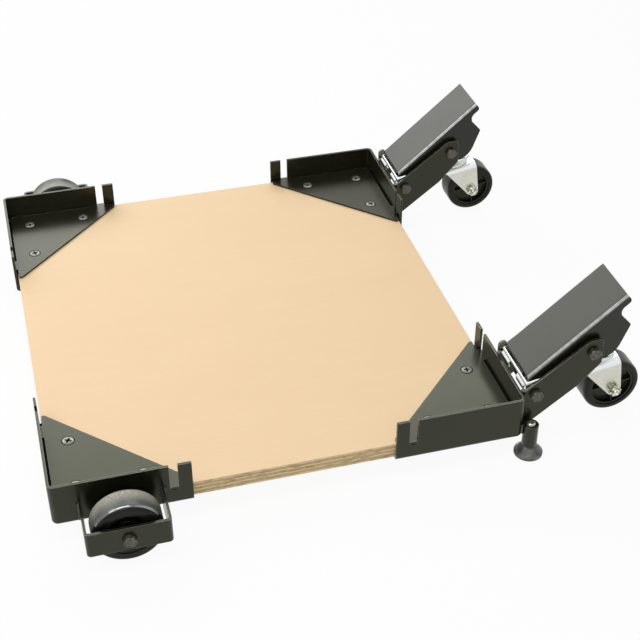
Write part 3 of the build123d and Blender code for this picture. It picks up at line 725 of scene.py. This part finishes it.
def bolt_threads():
    """Thread on the bolt ends that stand out of the pivot and caster nuts."""
    ends = []
    for side in SIDES:
        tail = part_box(f"{side}_lever_bolts")[1].y
        for pivot in ("carrier_hinge", "pedal_hinge"):
            place = joints[f"{side}_{pivot}"]["pos_m"]
            ends.append((place[0], tail - TAIL_LENGTH, place[2]))
    points = mesh_piece("pivot_thread_points", ends, [], [])
    tree = thread_tree("pivot_threads", oxide)
    tree.applied("pivot_threads", points, {**BOLT_THREAD, "Lean": (-math.pi / 2, 0.0, 0.0)},
                 "base", "black_hardware")
    tree = thread_tree("caster_threads", zinc)
    for side in SIDES:
        place = joints[f"{side}_caster_spin"]["pos_m"]
        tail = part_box(f"{side}_caster_axle")[0].y
        points = mesh_piece("caster_thread_point", [(place[0], tail + TAIL_LENGTH, place[2])], [], [])
        tree.applied(f"{side}_caster_thread", points, {**BOLT_THREAD, "Lean": (math.pi / 2, 0.0, 0.0)},
                     f"{side}_fork", "zinc")


def turned_piece(name, middle, outline, around=48):
    """A piece turned about an upright axis through middle from (radius, height) points."""
    shape = bmesh.new()
    corners = [shape.verts.new((middle.x + radius, middle.y, height)) for radius, height in outline]
    for first, second in zip(corners, corners[1:]):
        shape.edges.new((first, second))
    bmesh.ops.spin(shape, geom=shape.verts[:] + shape.edges[:], cent=(middle.x, middle.y, 0), axis=(0, 0, 1),
                   angle=2 * math.pi, steps=around, use_merge=True)
    bmesh.ops.remove_doubles(shape, verts=shape.verts[:], dist=1e-6)
    bmesh.ops.recalc_face_normals(shape, faces=shape.faces[:])
    mesh = bpy.data.meshes.new(name)
    shape.to_mesh(mesh)
    shape.free()
    return link(bpy.data.objects.new(name, mesh))


STUD_CORE = 4.45 * MM
STUD_THREAD = {"Radius": STUD_CORE, "Pitch": 1.5 * MM, "Ridge": 0.55 * MM, "Lean": (0.0, 0.0, 0.0)}
STUD_TIP = 1.0 * MM


def foot_studs():
    """Threaded stud of each levelling foot: a bare core with a thread wound up it."""
    tree = thread_tree("stud_thread", zinc)
    for side in SIDES:
        low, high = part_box(f"{side}_foot_stud")
        middle = (low + high) / 2
        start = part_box(f"{side}_foot_pad")[1].z
        points = mesh_piece("stud_point", [(middle.x, middle.y, start)], [], [])
        turns = (high.z - STUD_TIP - start) / STUD_THREAD["Pitch"]
        tree.applied(f"{side}_stud_thread", points, {**STUD_THREAD, "Turns": turns},
                     f"{side}_foot", "zinc")
        core = turned_piece(f"{side}_stud_core", middle, [
            (0.0, low.z), (STUD_CORE, low.z), (STUD_CORE, high.z - STUD_TIP),
            (STUD_CORE - STUD_TIP, high.z), (0.0, high.z)])
        core.data.materials.append(zinc)
        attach(core, f"{side}_foot")
        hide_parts(f"{side}_foot_stud")


def weld_tree():
    """Overlapping beads laid along each edge of a line mesh."""
    tree = Tree("weld_beads")
    radius = tree.size("Bead")
    spacing = tree.size("Spacing")
    line = tree.node("GeometryNodeMeshToCurve", {}, {"Mesh": tree.points()})["Curve"]
    spaced = tree.node("GeometryNodeResampleCurve", {"mode": "LENGTH"},
                       {"Curve": line, "Length": spacing})["Curve"]
    bead = tree.node("GeometryNodeMeshUVSphere", {}, {"Segments": 14, "Rings": 9, "Radius": radius})["Mesh"]
    smooth = tree.node("GeometryNodeSetShadeSmooth", {}, {"Geometry": bead})["Geometry"]
    uneven = tree.node("FunctionNodeRandomValue", {"data_type": "FLOAT_VECTOR"},
                       {"Min": (0.85, 0.85, 0.6), "Max": (1.1, 1.1, 0.8), "Seed": 11})["Value"]
    placed = tree.node("GeometryNodeInstanceOnPoints", {},
                       {"Points": spaced, "Instance": smooth, "Scale": uneven})["Instances"]
    tree.close(placed, powder_coat)
    return tree


# How far weld lines stand off the steel, end from its lower and upper edges, and lie from the outer corner
WELD_PROUD = 0.3 * MM
STRAP_WELD_ENDS = (7 * MM, 2 * MM)
SLEEVE_WELD_ENDS = (6 * MM, 1.5 * MM)
SLEEVE_WELDS = ((-1.7 * MM, 1.2 * MM), (0.9 * MM, 9.4 * MM))
WELD_SIZES = {"Bead": 2.1 * MM, "Spacing": 1.5 * MM}


def weld_lines():
    """Upright seams: wheel straps to the brackets, and foot sleeves to the corners."""
    ends = []
    for side, outward in zip(SIDES, (-1, 1)):
        low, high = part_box(f"{side}_wheel_strap")
        wall = high.y if side == "front" else low.y
        y = wall + outward * WELD_PROUD
        for x in (low.x - WELD_PROUD, high.x + WELD_PROUD):
            ends.append(((x, y, low.z + STRAP_WELD_ENDS[0]), (x, y, high.z - STRAP_WELD_ENDS[1])))
        corner_x, corner_y, _, inward = outer_corner(f"{side}_right_bracket")
        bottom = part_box(f"{side}_right_bracket")[0].z + SLEEVE_WELD_ENDS[0]
        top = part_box(f"{side}_foot_sleeve")[1].z - SLEEVE_WELD_ENDS[1]
        for out, along in SLEEVE_WELDS:
            x = corner_x + out
            y = corner_y + inward * along
            ends.append(((x, y, bottom), (x, y, top)))
    return ends


def weld_beads():
    verts = []
    edges = []
    for start, end in weld_lines():
        edges.append((len(verts), len(verts) + 1))
        verts += [start, end]
    lines = mesh_piece("weld_lines", verts, edges, [])
    weld_tree().applied("weld_beads", lines, WELD_SIZES, "base", "black_steel")


# Seams beside the corner plates, from the bracket's outer faces, from its corner, and below the plate's top
SEAM_SIZES = {"Seam": 1.5 * MM, "Spacing": 2.0 * MM}
SEAM_FROM_FACE = 4.3 * MM
SEAM_ENDS = (8.0 * MM, 140.0 * MM)
SEAM_DROP = 3.0 * MM
FILLET_ENDS = (8.0 * MM, 122.0 * MM)
FILLET_DROP = 1.6 * MM


def seam_tree(name, material):
    """A continuous uneven seam laid along each edge of a line mesh."""
    tree = Tree(name)
    radius = tree.size("Seam")
    spacing = tree.size("Spacing")
    line = tree.node("GeometryNodeMeshToCurve", {}, {"Mesh": tree.points()})["Curve"]
    spaced = tree.node("GeometryNodeResampleCurve", {"mode": "LENGTH"},
                       {"Curve": line, "Length": spacing})["Curve"]
    uneven = tree.node("FunctionNodeRandomValue", {}, {"Min": 0.85, "Max": 1.1, "Seed": 7})["Value"]
    swollen = tree.node("GeometryNodeSetCurveRadius", {}, {"Curve": spaced, "Radius": uneven})["Curve"]
    profile = tree.node("GeometryNodeCurvePrimitiveCircle", {}, {"Resolution": 10, "Radius": radius})["Curve"]
    seam = tree.node("GeometryNodeCurveToMesh", {},
                     {"Curve": swollen, "Profile Curve": profile, "Fill Caps": True})["Mesh"]
    tree.close(seam, material)
    return tree


def slit_lines(leg, ends, drop):
    """A line in the slit beside each corner plate, along one leg of its bracket."""
    verts = []
    edges = []
    for corner in CORNERS:
        x, y, along_x, along_y = outer_corner(f"{corner}_bracket")
        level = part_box(f"{corner}_plate")[1].z - drop
        edges.append((len(verts), len(verts) + 1))
        for reach in ends:
            far_x, far_y = (reach, SEAM_FROM_FACE) if leg == "X" else (SEAM_FROM_FACE, reach)
            verts.append((x + along_x * far_x, y + along_y * far_y, level))
    return mesh_piece("slit_lines", verts, edges, [])


def plate_seams():
    """Coated fillet welds along the X legs of the corner plates, and a black bead of painted shade in the slits
    along the Y legs.
    """
    fillets = slit_lines("X", FILLET_ENDS, FILLET_DROP)
    tree = seam_tree("plate_fillets", fillet_coat)
    tree.applied("plate_fillets", fillets, SEAM_SIZES, "base", "black_steel")
    # Painted shade: a matt black bead fills each slit along the Y legs in place of its shadow.
    seams = slit_lines("Y", SEAM_ENDS, SEAM_DROP)
    tree = seam_tree("plate_seams", slit_shade)
    tree.applied("plate_seams", seams, SEAM_SIZES, "base", "black_plastic")


place_camera()
paint_cad_nodes()
platform_screws()
bolt_threads()
foot_studs()
weld_beads()
plate_seams()


# Light, floor and background
def soft_light(name, place, target, size, power):
    data = bpy.data.lights.new(name, "AREA")
    data.shape = "RECTANGLE"
    data.size, data.size_y = size
    data.energy = power
    lamp = link(bpy.data.objects.new(name, data))
    lamp.location = place
    lamp.rotation_euler = (Vector(target) - Vector(place)).to_track_quat("-Z", "Y").to_euler()


def seen_directly(tree):
    """1 for rays from the camera, in a reflection or through glass, and 0 for light falling on the object."""
    path = tree.nodes.new("ShaderNodeLightPath")
    seen = path.outputs["Is Camera Ray"]
    for kind in ("Is Glossy Ray", "Is Transmission Ray"):
        either = tree.nodes.new("ShaderNodeMath")
        either.operation = "MAXIMUM"
        tree.links.new(seen, either.inputs[0])
        tree.links.new(path.outputs[kind], either.inputs[1])
        seen = either.outputs[0]
    return seen


def scaled(tree, value, low, high):
    """Bring a value from 0..1 to low..high."""
    span = tree.nodes.new("ShaderNodeMapRange")
    span.inputs["To Min"].default_value = low
    span.inputs["To Max"].default_value = high
    tree.links.new(value, span.inputs["Value"])
    return span.outputs["Result"]


def white_world(ambient):
    """White where it is seen, and a plain ambient light on the object."""
    world = bpy.data.worlds.new("studio")
    bpy.context.scene.world = world
    world.use_nodes = True
    tree = world.node_tree
    white = tree.nodes["Background"]
    white.inputs["Color"].default_value = (1, 1, 1, 1)
    tree.links.new(scaled(tree, seen_directly(tree), ambient, 1.0), white.inputs["Strength"])


def pale_floor(size, drop, white_share):
    """A matte floor that takes the object's shadow and is nearly white where it is seen."""
    half = size / 2
    corners = [(-half, -half, -drop), (half, -half, -drop), (half, half, -drop), (-half, half, -drop)]
    floor = mesh_piece("floor", corners, [], [(0, 1, 2, 3)])
    material = bpy.data.materials.new("pale_floor")
    material.use_nodes = True
    tree = material.node_tree
    matte = tree.nodes.new("ShaderNodeBsdfDiffuse")
    matte.inputs["Color"].default_value = (0.88, 0.88, 0.88, 1)
    white = tree.nodes.new("ShaderNodeEmission")
    mix = tree.nodes.new("ShaderNodeMixShader")
    tree.links.new(scaled(tree, seen_directly(tree), 0.0, white_share), mix.inputs[0])
    tree.links.new(matte.outputs[0], mix.inputs[1])
    tree.links.new(white.outputs[0], mix.inputs[2])
    tree.links.new(mix.outputs[0], tree.nodes["Material Output"].inputs["Surface"])
    floor.data.materials.append(material)


white_world(ambient=0.20)
pale_floor(size=12.0, drop=0.2 * MM, white_share=0.94)
soft_light("back_panel", place=(-0.95, 2.4, 1.85), target=(-0.95, 0.0, 1.2), size=(2.8, 2.0), power=47.0)
soft_light("side_panel", place=(1.1, 2.4, 2.35), target=(0.6, 0.0, 1.4), size=(1.3, 1.0), power=11.0)
soft_light("overhead", place=(-0.5, -0.4, 2.3), target=(-0.5, 0.0, 0.0), size=(1.6, 0.8), power=18.0)
soft_light("left_panel", place=(-1.75, -0.1, 2.1), target=(0.2, -0.1, 0.1), size=(2.6, 0.8), power=14.0)
soft_light("front_fill", place=(-0.6, -2.3, 1.3), target=(0.0, -0.2, 0.05), size=(1.6, 0.8), power=7.0)
bpy.context.scene.view_settings.view_transform = "Standard"
